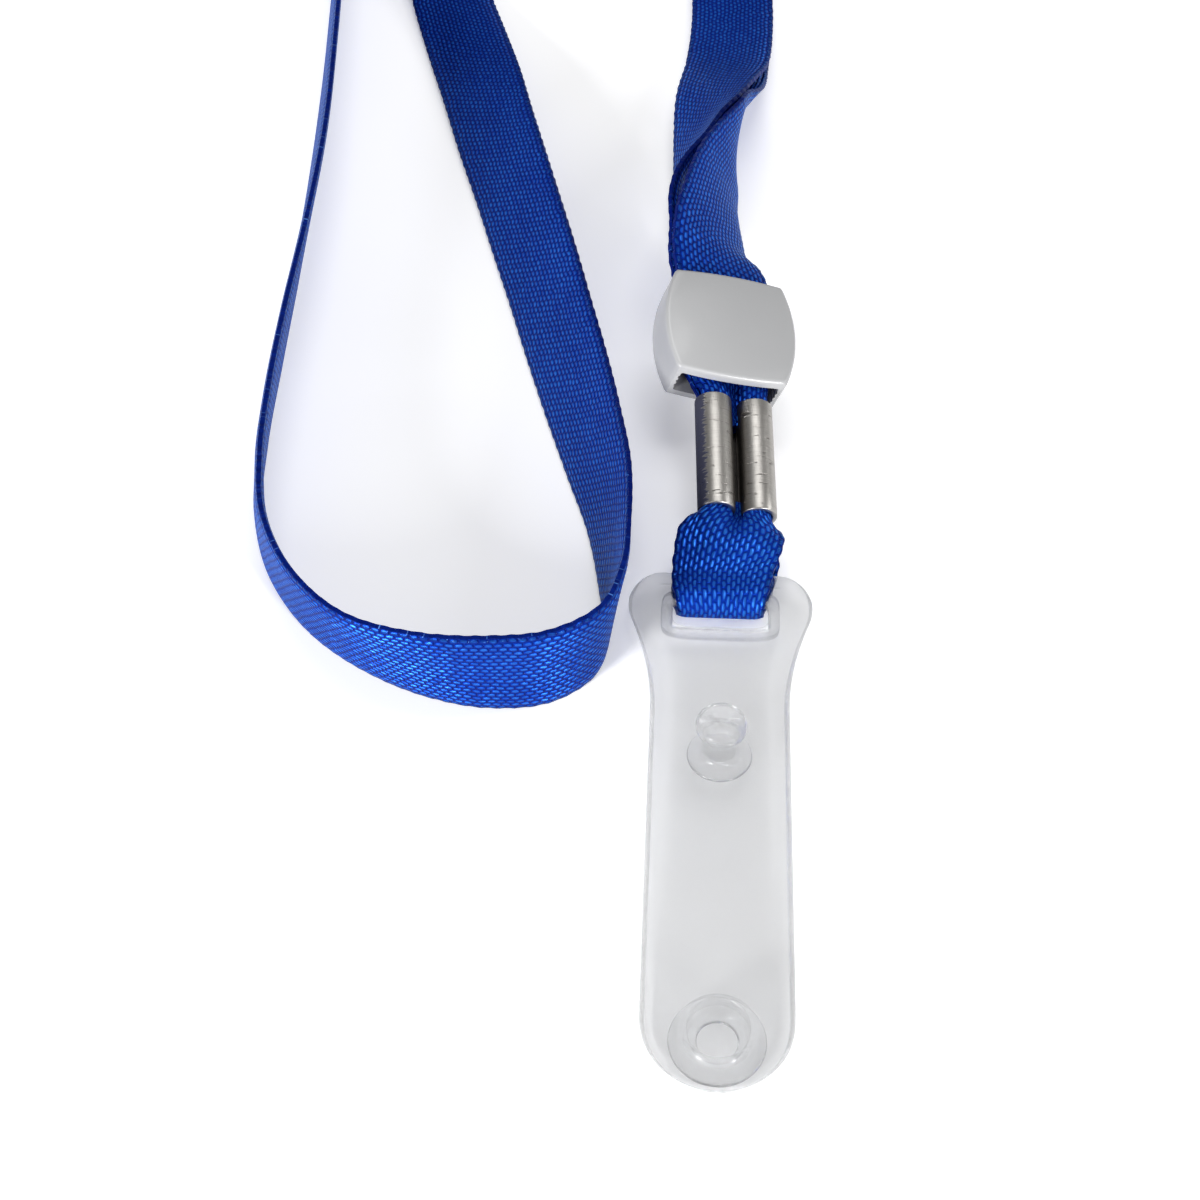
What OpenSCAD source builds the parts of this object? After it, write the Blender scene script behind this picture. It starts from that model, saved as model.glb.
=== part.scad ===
// Lanyard badge holder: flat neck strap, slider, double-barrel crimp and a one-piece clear strap clip.
// The clip lies along Y with its strap slot towards +Y, and the whole part rests on Z = 0.

/* [Webbing] */
// Width of the flat webbing
web_w = 10; // [8:0.5:12]
// Thickness of one layer of webbing
web_t = 0.9; // [0.6:0.1:1.1]
// Gap kept between webbing and what it passes through
web_gap = 0.3; // [0.2:0.05:0.5]
// Width of the webbing where it is gathered round the clip bar
bar_web_w = 8.3; // [7.5:0.1:9.4]

/* [Clear clip] */
// Length of the clip from its top edge to its round end
clip_len = 53.3; // [45:0.1:68]
// Thickness of the clip sheet
sheet_t = 1.2; // [0.9:0.1:1.5]
// Width of the band that passes through a badge slot
band_w = 12.4; // [12.3:0.1:15]
// Margin of the head beside the strap slot, each side
head_margin = 4.25; // [3.4:0.05:5]
// Radius of the two top corners of the head
head_corner = 3.5; // [1.5:0.1:3.6]
// Length over which the head narrows to the band
neck_len = 11; // [7:0.5:14]
// Width of the bar between the top edge and the strap slot
bar_w = 3; // [2.4:0.1:4]
// Height of the strap slot along the clip
slot_h = 3.4; // [2.6:0.1:4.2]
// Radius of the slot corners
slot_corner = 0.9; // [0.5:0.1:1.2]
// Width of the raised rim around the strap slot
rim_w = 1.1; // [0.5:0.1:1.4]
// Height of the raised rim
rim_h = 0.3; // [0.2:0.05:0.4]
// Corner radius of the round end
end_corner = 6.1; // [3:0.1:6.1]

/* [Snap] */
// Distance from the top edge of the clip to the stud
stud_from_top = 21; // [19:0.1:24]
// Distance from the stud to the socket
snap_span = 28.2; // [23:0.1:34]
// Height of the stud above the sheet
stud_h = 5.4; // [4:0.1:6]
// Radius of the stud head
stud_head_r = 2.3; // [1.8:0.1:2.7]
// Height of the stud head
stud_head_h = 1.3; // [1:0.1:1.6]
// Radius of the stud stem
stud_stem_r = 1.5; // [1:0.1:1.7]
// Radius of the flange at the foot of the stud
stud_flange_r = 2.9; // [2.8:0.1:3.2]
// Height of the flange
stud_flange_h = 0.8; // [0.5:0.1:1.1]
// Radial clearance of the stud head in the socket
snap_clear = 0.2; // [0.1:0.05:0.3]
// Wall of the socket ring
socket_wall = 0.9; // [0.7:0.1:1.1]
// Height of the socket ring above the sheet
socket_h = 2.6; // [2:0.1:3]
// Radius of the hole under the socket
socket_hole_r = 1.65; // [1:0.05:1.7]

/* [Crimp] */
// Length of the crimp
crimp_len = 12.9; // [10:0.1:16]
// Outer radius of each barrel
barrel_r = 2.1; // [1.9:0.1:2.4]
// Thickness of the crimp metal
crimp_wall = 0.5; // [0.4:0.05:0.6]
// Gap between the two barrels at the front seam
seam_gap = 0.1; // [0.06:0.02:0.2]

/* [Slider] */
// Length of the slider
slider_len = 12.8; // [11:0.1:17]
// Side wall of the slider at its ends
slider_wall = 0.4; // [0.4:0.1:1.2]
// Side gap between the webbing and the slider slot
slider_side_gap = 0.15; // [0.15:0.05:0.5]
// How far each side bulges beyond the ends
slider_bulge = 1.4; // [0.6:0.1:1.6]
// How far each end bulges beyond the corners
slider_end_bulge = 0.5; // [0.2:0.1:0.7]
// Thickness of the slider
slider_t = 5; // [4.6:0.1:5.8]
// Edge rounding of the slider section
slider_round = 0.6; // [0.4:0.1:0.8]
// Height of the slider slot
slider_slot_h = 3; // [2.8:0.1:3.3]
// Depth of the grip ribs on the sides of the slot
slider_rib = 0.1; // [0.05:0.05:0.1]
// Gap between the crimp and the slider at rest
slider_gap = 1.5; // [0.4:0.1:2]

/* [Lie on the table] */
// Upward slope of the crimp and slider
strap_pitch = 12; // [10:0.5:13]
// Turn of the crimp and slider in plan
strap_yaw = 2.5; // [1:0.5:4]
// Roll of the crimp and slider, left side up
strap_roll = 16; // [10:1:18]

/* [Hidden] */
$fn = 64;
eps = 0.01;

// Clip layout along Y, before the part is moved to its origin
slot_w = bar_web_w + 2 * web_gap;
head_w = slot_w + 2 * head_margin;
clip_top = 1.6;
clip_end = clip_top - clip_len;
bar_y = clip_top - bar_w / 2;
slot_top = clip_top - bar_w;
slot_bottom = slot_top - slot_h;
stud_y = clip_top - stud_from_top;
socket_y = stud_y - snap_span;
fold_y = (stud_y + socket_y) / 2;
fold_gap = 0.3;
neck_top = clip_top - 4.4;
neck_steps = 14;
neck_power = 1.8;

// Gap between the webbing loop and the clip bar it lies on
web_rest = 0.1;

// The head is lifted by the webbing under its bar, and the round end touches the table
clip_lift = web_t + web_rest;
clip_tilt = asin(clip_lift / (bar_y - clip_end));

// Socket sizes that follow the stud
socket_in_r = stud_head_r + snap_clear;
socket_out_r = socket_in_r + socket_wall;

// Crimp and slider frame: origin at the lower end of the crimp, on its axis
strap_foot = [0.8, 8.15, 4];
// How far the crimp sits right of the middle of the webbing
crimp_shift = 0.75;
// Top of the flat part between the barrels, as a share of their radius
web_floor = 0.3;
// Gap round the webbing packed in the crimp, and how far it stands out at each end
fill_gap = 0.05;
fill_proud = 0.2;
pack_half = web_t / 2 + 0.1;
slider_from = crimp_len + slider_gap;
slider_to = slider_from + slider_len;
slider_slot_w = web_w + 2 * slider_side_gap;
slider_end_w = slider_slot_w + 2 * slider_wall;
slider_full_w = slider_end_w + 2 * slider_bulge;
bulge_r = (slider_len * slider_len / 4 + slider_bulge * slider_bulge) / (2 * slider_bulge);
end_r = (slider_full_w * slider_full_w / 4 + slider_end_bulge * slider_end_bulge) / (2 * slider_end_bulge);

// The origin is under the middle of the clip, crimp and slider
slider_far_y = strap_foot[1] + slider_to * cos(strap_pitch) * cos(strap_yaw)
    + slider_t / 2 * sin(strap_pitch);
origin_y = (clip_end + slider_far_y) / 2;

// A point on the straight webbing: how far along from the crimp's lower end, and how far above its middle
function strap_point(along, side) =
    let (c = cos(strap_pitch), s = sin(strap_pitch))
    strap_foot + along * [-sin(strap_yaw) * c, cos(strap_yaw) * c, s]
    + side * [sin(strap_roll), -s * cos(strap_roll), c * cos(strap_roll)];

// Each route point is [x, y, z, turn of the webbing about its own run]
upper_start = [for (a = [crimp_len + 0.2, slider_to])
    concat(strap_point(a, pack_half), [-strap_roll])];
lower_end = [for (a = [slider_to, crimp_len + 0.2])
    concat(strap_point(a, -pack_half), [strap_roll - 360])];
upper_twist = [
    [-1, 38, 10.7, -24], [-1.5, 42, 10.7, -40], [-1.3, 46, 10.3, -50], [-1, 50, 9.8, -58],
    [-0.5, 54, 9.1, -66], [0.5, 59, 8, -78], [1, 64, 6.8, -98], [0.3, 70, 4.9, -131],
    [0, 77, 3.2, -158], [0.3, 85, 1.6, -176], [1, 95, 0.8, -180], [1, 106, 0.8, -177]];
neck_middle = [
    // away, then up on edge round the inner turn
    [0, 118, 2.9, -150], [-2, 132, 4.75, -115], [-2.5, 150, 5.1, -92], [-2.5, 170, 5.1, -90],
    [-4, 181, 5.1, -90], [-9, 190, 5.1, -90], [-16, 196, 5.1, -90], [-24, 197, 5.1, -90],
    [-32, 193, 5.1, -90], [-38, 184, 5.1, -90], [-41, 170, 5.1, -90], [-41.5, 150, 5, -98],
    [-40.5, 130, 4, -133], [-37.8, 113, 2, -162], [-35, 101, 0.9, -178],
    // wide strand, rising on to its edge
    [-32, 90, 1.3, -190], [-29.3, 80, 2.15, -200], [-26.8, 70, 2.8, -209], [-24.4, 61, 3.3, -216],
    [-22, 52, 3.55, -220], [-19.6, 43, 3.8, -224], [-17.3, 34, 4, -228], [-15.2, 26, 4.2, -232],
    [-12.9, 17, 4.5, -239], [-11, 9, 4.8, -247], [-10.2, 2, 5, -254], [-10, -4, 5.1, -260],
    // the near turn, on edge
    [-11.3, -9.4, 5.2, -266], [-15.3, -12.6, 5.2, -269], [-21, -13.6, 5.2, -269],
    [-27, -13, 5.2, -264], [-33.3, -10.6, 5.1, -259], [-38.9, -5.9, 5.1, -263],
    [-43, 0.7, 5.1, -270], [-45.2, 9, 5.1, -278], [-45.9, 18, 5.1, -280], [-46.1, 30, 5.1, -281],
    // thin strand, away on its edge
    [-46.1, 44, 5.1, -284], [-46.4, 60, 5.1, -286], [-47.5, 80, 5.1, -284],
    [-49.1, 101, 5.1, -282], [-51, 125, 5.1, -276], [-52, 150, 5.1, -270],
    // the outer turn
    [-52, 172, 5.1, -270], [-49.5, 187, 5.1, -270], [-43, 199, 5.1, -270], [-33, 206, 5.1, -270],
    [-22, 208, 5.1, -270], [-11, 205, 5.1, -270], [-1, 197, 5.1, -270], [5, 185, 5.1, -270],
    [7, 170, 5.1, -268], [6.5, 150, 5, -255], [5, 132, 4, -225], [2.5, 118, 3, -195]];
lower_twist = [
    [1, 106, 2.1, -183], [1, 95, 2.1, -181], [0.4, 85, 3.1, -187], [-1, 77, 4.9, -202],
    [-2, 70, 5.9, -222], [-3.1, 64, 6.5, -240], [-4, 59, 6.8, -250], [-4.8, 54, 7.3, -263],
    [-4.9, 50, 7.8, -275], [-4.1, 46, 8.3, -292], [-2.6, 42, 8.7, -312], [-1.5, 38, 9, -332]];
route = concat(upper_start, upper_twist, neck_middle, lower_twist, lower_end);

// Where one stretch of the webbing ends and the next begins, as route positions
upper_from = len(upper_start) - 1;
neck_from = upper_from + len(upper_twist);
neck_to = neck_from + len(neck_middle) + 1;
lower_to = neck_to + len(lower_twist);

// Corners of the webbing section as [across, through]
edge_in = 0.45;
section = [[web_w / 2, -web_t / 5], [web_w / 2, web_t / 5], [web_w / 2 - edge_in, web_t / 2],
    [edge_in - web_w / 2, web_t / 2], [-web_w / 2, web_t / 5], [-web_w / 2, -web_t / 5],
    [edge_in - web_w / 2, -web_t / 2], [web_w / 2 - edge_in, -web_t / 2]];

function route_xyz(i) = [route[i][0], route[i][1], route[i][2]];
function unit(v) = v / norm(v);
function heading(i) = unit(route_xyz(min(i + 1, len(route) - 1)) - route_xyz(max(i - 1, 0)));
function section_ring(i) =
    let (t = heading(i), h = unit(cross(t, [0, 0, 1])), v = cross(h, t), a = route[i][3],
         across = cos(a) * h + sin(a) * v, through = cos(a) * v - sin(a) * h)
    [for (p = section) route_xyz(i) + p[0] * across + p[1] * through];

module to_origin() {
    translate([0, -origin_y, 0]) children();
}

module on_clip() {
    to_origin()
        translate([0, bar_y, clip_lift]) rotate([clip_tilt, 0, 0]) translate([0, -bar_y, 0]) children();
}

module on_strap() {
    to_origin()
        translate(strap_foot) rotate([strap_pitch, 0, strap_yaw]) rotate([0, strap_roll, 0]) children();
}

// Stands a section drawn in X and Z along +Y
module along_strap(from, length) {
    translate([0, from, 0]) rotate([-90, 0, 0]) mirror([0, 1, 0]) linear_extrude(length) children();
}

module rounded_rect(w, h, r) {
    for (x = [-1, 1], y = [-1, 1]) translate([x * (w / 2 - r), y * (h / 2 - r)]) circle(r);
    square([w - 2 * r, h], center = true);
    square([w, h - 2 * r], center = true);
}

// One stretch of webbing, from one route position to another
module strap_stretch(from, to) {
    sides = len(section);
    rings = [for (i = [from : to]) section_ring(i)];
    points = [for (ring = rings, p = ring) p];
    // both faces of the webbing are split along the same diagonal, so it keeps its thickness
    walls = [for (i = [0 : len(rings) - 2], k = [0 : sides - 1], half = [0, 1])
        let (n = (k + 1) % sides, near = i * sides, far = near + sides)
        k < sides / 2 ? (half == 0 ? [near + k, near + n, far + n] : [near + k, far + n, far + k])
            : (half == 0 ? [near + k, near + n, far + k] : [near + n, far + n, far + k])];
    first = [for (k = [sides - 1 : -1 : 0]) k];
    last = [for (k = [0 : sides - 1]) (len(rings) - 1) * sides + k];
    color("royalblue") to_origin() polyhedron(points, concat([first], walls, [last]));
}

module strap_neck_run() {
    strap_stretch(neck_from, neck_to);
}

module strap_upper_twist() {
    strap_stretch(upper_from, neck_from);
}

module strap_lower_twist() {
    strap_stretch(neck_to, lower_to);
}

module strap_slider_run() {
    strap_stretch(0, upper_from);
    strap_stretch(lower_to, lower_to + 1);
}

// Two round barrels side by side, joined by a flat web between the two given heights
module barrel_section(r, low, high) {
    barrel_x = barrel_r + seam_gap / 2;
    for (x = [-1, 1]) translate([x * barrel_x, 0]) circle(r);
    translate([-barrel_x, low]) square([2 * barrel_x, high - low]);
}

module crimp() {
    inner_r = barrel_r - crimp_wall;
    color("silver") on_strap() translate([crimp_shift, 0, 0]) along_strap(0, crimp_len) difference() {
        barrel_section(barrel_r, -barrel_r, 0);
        barrel_section(inner_r, -inner_r, -inner_r * web_floor);
    }
}

module strap_crimped_run() {
    fill_r = barrel_r - crimp_wall - fill_gap;
    fill_len = crimp_len + 2 * fill_proud;
    color("royalblue") on_strap() translate([crimp_shift, 0, 0]) along_strap(-fill_proud, fill_len)
        barrel_section(fill_r, -fill_r, -fill_r * web_floor - fill_gap);
}

// Side view of the webbing loop round the bar: over it, down the slot and back under it
module strap_hanger_run() {
    bend = web_t * 0.8;
    over = clip_lift + sheet_t + rim_h + web_rest;
    under = clip_lift - web_rest;
    front = slot_top - web_gap;
    back = strap_foot[1] - 0.5;
    mouth_half = barrel_r - crimp_wall - web_rest;
    top = strap_foot[2] + mouth_half - 0.3;
    low = strap_foot[2] - mouth_half;
    color("royalblue") to_origin()
        translate([-bar_web_w / 2, 0, 0]) rotate([90, 0, 90]) linear_extrude(bar_web_w) difference() {
            polygon([[front - web_t, under], [front - bend, under - bend],
                [front, under - web_t], [clip_top, under - web_t], [back, low],
                [back - 0.2, top], [clip_top + 0.8, over + web_t + 0.2], [front, over + web_t],
                [front - bend, over + bend], [front - web_t, over]]);
            polygon([[front, under], [clip_top, under], [back - 1.2, low + web_t + 0.2],
                [back - 1.2, low + web_t + 0.4], [clip_top + 0.6, over + 0.1], [front, over]]);
        }
}

// Plan of the slider: four bulging edges about its middle
module slider_plan() {
    intersection_for(side = [-1, 1]) {
        intersection() {
            translate([side * (slider_full_w / 2 - bulge_r), 0]) circle(bulge_r, $fn = 180);
            translate([0, side * (slider_len / 2 - end_r)]) circle(end_r, $fn = 180);
        }
    }
}

module slider() {
    middle = slider_from + slider_len / 2;
    rib_pitch = 0.7;
    color("lightgray") on_strap() difference() {
        intersection() {
            along_strap(slider_from, slider_len) rounded_rect(slider_full_w, slider_t, slider_round);
            translate([0, middle, -slider_t]) linear_extrude(2 * slider_t) slider_plan();
        }
        along_strap(slider_from - 1, slider_len + 2) {
            square([slider_slot_w, slider_slot_h], center = true);
            for (side = [-1, 1], row = [-1 : 1]) translate([side * slider_slot_w / 2, row * rib_pitch])
                square([2 * slider_rib, rib_pitch / 2], center = true);
        }
    }
}

// Half width of the head along Y where it narrows into the band
function neck_half(y) = let (share = min(1, (neck_top - y) / neck_len))
    band_w / 2 + (head_w / 2 - band_w / 2) * pow(1 - share, neck_power);

module head_outline() {
    corner = [for (a = [0 : 6 : 90]) [head_w / 2 - head_corner + head_corner * cos(a),
        clip_top - head_corner + head_corner * sin(a)]];
    neck = [for (i = [neck_steps : -1 : 0]) let (y = neck_top - neck_len * i / neck_steps) [neck_half(y), y]];
    right = concat([[band_w / 2, fold_y + fold_gap / 2]], neck, corner);
    left = [for (i = [len(right) - 1 : -1 : 0]) [-right[i][0], right[i][1]]];
    polygon(concat(right, left));
}

module slot_outline(grow) {
    translate([0, (slot_top + slot_bottom) / 2])
        rounded_rect(slot_w + 2 * grow, slot_h + 2 * grow, slot_corner + grow);
}

module clip_head() {
    color("lightcyan", 0.5) on_clip() difference() {
        union() {
            linear_extrude(sheet_t) head_outline();
            linear_extrude(sheet_t + rim_h) slot_outline(rim_w);
        }
        translate([0, 0, -1]) linear_extrude(sheet_t + rim_h + 2) slot_outline(0);
    }
}

module snap_stud() {
    head_low = stud_h - stud_head_h;
    under_head = 0.5;
    straight = stud_head_h * 0.6;
    dimple_r = 0.5;
    dimple_deep = 0.3;
    color("lightcyan", 0.6) on_clip() translate([0, stud_y, sheet_t]) difference() {
        union() {
            cylinder(h = stud_flange_h, r = stud_flange_r);
            cylinder(h = head_low + eps, r = stud_stem_r);
            translate([0, 0, head_low - under_head])
                cylinder(h = under_head, r1 = stud_stem_r, r2 = stud_head_r);
            translate([0, 0, head_low]) cylinder(h = straight, r = stud_head_r);
            translate([0, 0, head_low + straight])
                cylinder(h = stud_head_h - straight, r1 = stud_head_r, r2 = stud_head_r * 0.72);
        }
        translate([0, 0, stud_h - dimple_deep]) cylinder(h = 1, r = dimple_r);
    }
}

module tail_outline() {
    start = fold_y - fold_gap / 2;
    end_y = clip_end + end_corner;
    for (x = [-1, 1]) translate([x * (band_w / 2 - end_corner), end_y]) circle(end_corner);
    translate([-band_w / 2, end_y]) square([band_w, start - end_y]);
    translate([-band_w / 2 + end_corner, clip_end]) square([band_w - 2 * end_corner, end_corner + eps]);
}

module clip_tail() {
    color("lightcyan", 0.5) on_clip() difference() {
        linear_extrude(sheet_t) tail_outline();
        translate([0, socket_y, -1]) cylinder(h = sheet_t + 2, r = socket_hole_r);
    }
}

module snap_socket() {
    color("lightcyan", 0.6) on_clip() translate([0, socket_y, sheet_t]) difference() {
        cylinder(h = socket_h, r = socket_out_r);
        translate([0, 0, -1]) cylinder(h = socket_h + 2, r = socket_in_r);
    }
}

strap_neck_run();
strap_upper_twist();
strap_lower_twist();
strap_slider_run();
strap_crimped_run();
strap_hanger_run();
crimp();
slider();
clip_head();
snap_stud();
clip_tail();
snap_socket();
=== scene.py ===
import math

import bmesh
import bpy
from mathutils import Matrix, Vector


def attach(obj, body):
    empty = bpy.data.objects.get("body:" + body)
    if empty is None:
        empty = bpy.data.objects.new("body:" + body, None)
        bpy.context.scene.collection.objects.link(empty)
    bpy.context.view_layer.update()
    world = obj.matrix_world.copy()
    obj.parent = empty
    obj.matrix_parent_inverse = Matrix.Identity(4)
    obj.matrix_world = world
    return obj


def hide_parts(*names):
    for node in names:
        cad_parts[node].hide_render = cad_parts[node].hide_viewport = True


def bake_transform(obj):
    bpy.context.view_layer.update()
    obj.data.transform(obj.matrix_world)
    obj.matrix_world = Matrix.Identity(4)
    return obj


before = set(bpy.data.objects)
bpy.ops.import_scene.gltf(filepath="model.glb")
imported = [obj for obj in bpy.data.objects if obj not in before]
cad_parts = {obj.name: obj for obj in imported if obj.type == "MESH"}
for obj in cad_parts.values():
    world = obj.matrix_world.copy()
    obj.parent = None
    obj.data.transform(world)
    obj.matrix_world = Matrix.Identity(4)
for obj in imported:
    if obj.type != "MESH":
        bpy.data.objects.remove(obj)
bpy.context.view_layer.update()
mm = 0.001

# all lengths below are in millimetres, laid out along the clip before the part is moved to its origin
layout = {"originY": -8.22496, "clipTop": 1.6, "clipLength": 53.3, "barWidth": 3.0, "lift": 1.0}
layout["clipEnd"] = layout["clipTop"] - layout["clipLength"]
layout["barY"] = layout["clipTop"] - layout["barWidth"] / 2
layout["tilt"] = math.asin(layout["lift"] / (layout["barY"] - layout["clipEnd"]))

strapLine = {"foot": (0.8, 8.15, 4), "pitch": 12, "yaw": 2.5, "roll": 16, "crimp": 12.9, "crimpShift": 0.75,
             "gap": 1.5, "slider": 12.8}
strapLine["sliderFrom"] = strapLine["crimp"] + strapLine["gap"]
strapLine["sliderTo"] = strapLine["sliderFrom"] + strapLine["slider"]

toOrigin = Matrix.Scale(mm, 4) @ Matrix.Translation((0, -layout["originY"], 0))
onStrap = (toOrigin @ Matrix.Translation(strapLine["foot"])
           @ Matrix.Rotation(math.radians(strapLine["yaw"]), 4, "Z")
           @ Matrix.Rotation(math.radians(strapLine["pitch"]), 4, "X")
           @ Matrix.Rotation(math.radians(strapLine["roll"]), 4, "Y"))
onCrimp = onStrap @ Matrix.Translation((strapLine["crimpShift"], 0, 0))
onClip = (toOrigin @ Matrix.Translation((0, layout["barY"], layout["lift"]))
          @ Matrix.Rotation(layout["tilt"], 4, "X") @ Matrix.Translation((0, -layout["barY"], 0)))


# camera

cameraLook = {"place": (-5.85, -120.90, 148.68), "down": 49, "turn": 2.5, "lens": 61.5}


def makeCamera():
    data = bpy.data.cameras.new("camera")
    data.lens, data.sensor_width = cameraLook["lens"], 36
    data.clip_start, data.clip_end = 0.01, 20
    camera = bpy.data.objects.new("camera", data)
    camera.location = Vector(cameraLook["place"]) * mm
    camera.rotation_euler = (math.radians(90 - cameraLook["down"]), 0, math.radians(cameraLook["turn"]))
    bpy.context.scene.collection.objects.link(camera)
    bpy.context.scene.camera = camera


makeCamera()
print("camera set")


# shader writing

class Wire:  # a shader socket that takes part in sums
    def __init__(self, finish, socket):
        self.finish, self.socket = finish, socket

    def join(self, other, operation, swap=False):
        pair = (other, self) if swap else (self, other)
        return self.finish.node("ShaderNodeMath", {"operation": operation}, {0: pair[0], 1: pair[1]})

    def __add__(self, other):
        return self.join(other, "ADD")

    def __sub__(self, other):
        return self.join(other, "SUBTRACT")

    def __rsub__(self, other):
        return self.join(other, "SUBTRACT", True)

    def __mul__(self, other):
        return self.join(other, "MULTIPLY")

    def __truediv__(self, other):
        return self.join(other, "DIVIDE")

    def __pow__(self, other):
        return self.join(other, "POWER")

    __radd__ = __add__


class Finish:  # one material, and the nodes that make it
    def __init__(self, name, fixed):
        self.material = bpy.data.materials.new(name)
        self.material.use_nodes = True
        self.tree = self.material.node_tree
        self.shader = self.tree.nodes["Principled BSDF"]
        self.feed(fixed)

    def feed(self, values):
        for socket, value in values.items():
            self.plug(self.shader.inputs[socket], value)

    def plug(self, socket, value):
        if isinstance(value, Wire):
            self.tree.links.new(value.socket, socket)
        else:
            socket.default_value = value

    def node(self, kind, settings, inputs, out=0):
        made = self.tree.nodes.new(kind)
        for key, value in settings.items():
            if key == "stops":
                ramp = made.color_ramp
                while len(ramp.elements) < len(value):
                    ramp.elements.new(0.5)
                for element, (place, colour) in zip(ramp.elements, value):
                    element.position, element.color = place, (*colour, 1)
            else:
                setattr(made, key, value)
        for socket, value in inputs.items():
            self.plug(made.inputs[socket], value)
        return Wire(self, made.outputs[out])

    def single(self, operation, value):
        return self.node("ShaderNodeMath", {"operation": operation}, {0: value})

    def smooth(self, value, low, high, start=0.0, end=1.0):
        return self.node("ShaderNodeMapRange", {"interpolation_type": "SMOOTHSTEP"},
                         {0: value, 1: low, 2: high, 3: start, 4: end})

    def blendColour(self, share, first, second):
        return self.node("ShaderNodeMix", {"data_type": "RGBA"}, {0: share, 6: first, 7: second}, out=2)

    def noise(self, vector, scale, detail=2.0, roughness=0.5):
        return self.node("ShaderNodeTexNoise", {}, {"Vector": vector, "Scale": scale, "Detail": detail,
                                                    "Roughness": roughness})

    def drawnNoise(self, shares, scale, detail):
        # noise drawn out by giving each direction its own share
        return self.noise(self.node("ShaderNodeCombineXYZ", {}, dict(enumerate(shares))), scale, detail)

    def bump(self, height, distance, strength=1.0):
        return self.node("ShaderNodeBump", {}, {"Strength": strength, "Distance": distance, "Height": height})


def rgba(colour):
    return (*colour, 1)


# webbing

layUnit = 100  # millimetres of webbing in one unit of its lay map
webbing = {"width": 10, "thick": 0.9, "columnPitch": 0.5, "rowPitch": 0.86, "pulledPitch": 1.0,
           "selvage": 0.5, "scallop": 1.6, "scallopDepth": 0.07, "scallopIn": 0.05,
           "step": 0.45, "pulledStep": 0.3, "columns": 14, "pulledColumns": 20,
           "edgeThin": 0.45, "besideEdgeThin": 0.86,
           "deep": (0.0008, 0.005, 0.10), "royal": (0.0028, 0.032, 0.36), "bright": (0.032, 0.19, 0.72),
           "speck": (0.10, 0.26, 0.72), "gloss": (0.16, 0.62, 1.0)}


# lift raises the whole tone of the webbing: painted light
def webbingFinish(name, rowPitch, shine, lift):
    f = Finish(name, {"Specular IOR Level": 0.09, "Specular Tint": rgba(webbing["gloss"])})
    lay = f.node("ShaderNodeUVMap", {"uv_map": "lay"}, {})
    split = f.node("ShaderNodeSeparateXYZ", {}, {0: lay})
    along = split * layUnit
    straight = Wire(f, split.socket.node.outputs[1]) * layUnit
    sway = f.drawnNoise((along * 0.6, straight * 0.3), 1.0, 2.0)
    across = straight + sway * 0.5 - 0.25
    column = f.single("FLOOR", across / webbing["columnPitch"])
    odd = f.node("ShaderNodeMath", {"operation": "MODULO"}, {0: column, 1: 2.0})
    rows = along / rowPitch + odd * 0.5
    row = f.single("FLOOR", rows)
    inRow = f.single("FRACT", rows) * 2 - 1
    inColumn = f.single("FRACT", across / webbing["columnPitch"]) * 2 - 1
    dash = (1 - inRow * inRow) * (1 - inColumn * inColumn) ** 1.4
    raised = f.smooth(dash, 0.06, 0.85)
    cell = f.node("ShaderNodeCombineXYZ", {}, {0: row, 1: column})
    chance = f.node("ShaderNodeTexWhiteNoise", {"noise_dimensions": "2D"}, {"Vector": cell})
    grain = f.drawnNoise((along * 0.7, across * 9), 1.6, 3.0)
    wide = f.drawnNoise((along * 0.05, across * 0.12), 1.0, 2.0)
    ridge = (1 - f.single("ABSOLUTE", inColumn)) * f.smooth(f.single("ABSOLUTE", inRow), 0.7, 1.0, 1, 0)
    fromEdge = f.single("ABSOLUTE", straight - webbing["width"] / 2)
    selvage = f.smooth(fromEdge, webbing["width"] / 2 - webbing["selvage"], webbing["width"] / 2 - 0.25)
    # the raised floats take the bright end of the ramp and the gaps between them the deep end: painted light
    # on the floats and painted shade in the gaps, over a weave tone that differs from cell to cell
    tone = raised * (0.52 + chance * 0.22) + grain * 0.24 + wide * 0.24 + lift
    colour = f.node("ShaderNodeValToRGB", {"stops": [(0.04, webbing["deep"]), (0.48, webbing["royal"]),
                                                     (0.96, webbing["bright"])]}, {0: tone})
    colour = f.blendColour(selvage * 0.62, colour, rgba(webbing["deep"]))
    fine = f.drawnNoise((along * 1.9, across * 2.6), 2.0, 1.0)
    speck = f.smooth(fine, 0.66, 0.74) * selvage
    colour = f.blendColour(speck * 0.8, colour, rgba(webbing["speck"]))
    f.feed({"Base Color": colour,
            "Metallic": raised * shine * 0.7 + shine * 0.3,
            "Roughness": 0.38 - raised * 0.08 + grain * 0.08,
            "Normal": f.bump(ridge * (0.8 + chance * 0.2) + grain * 0.15, 0.0002, 1.0)})
    return f.material


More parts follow.
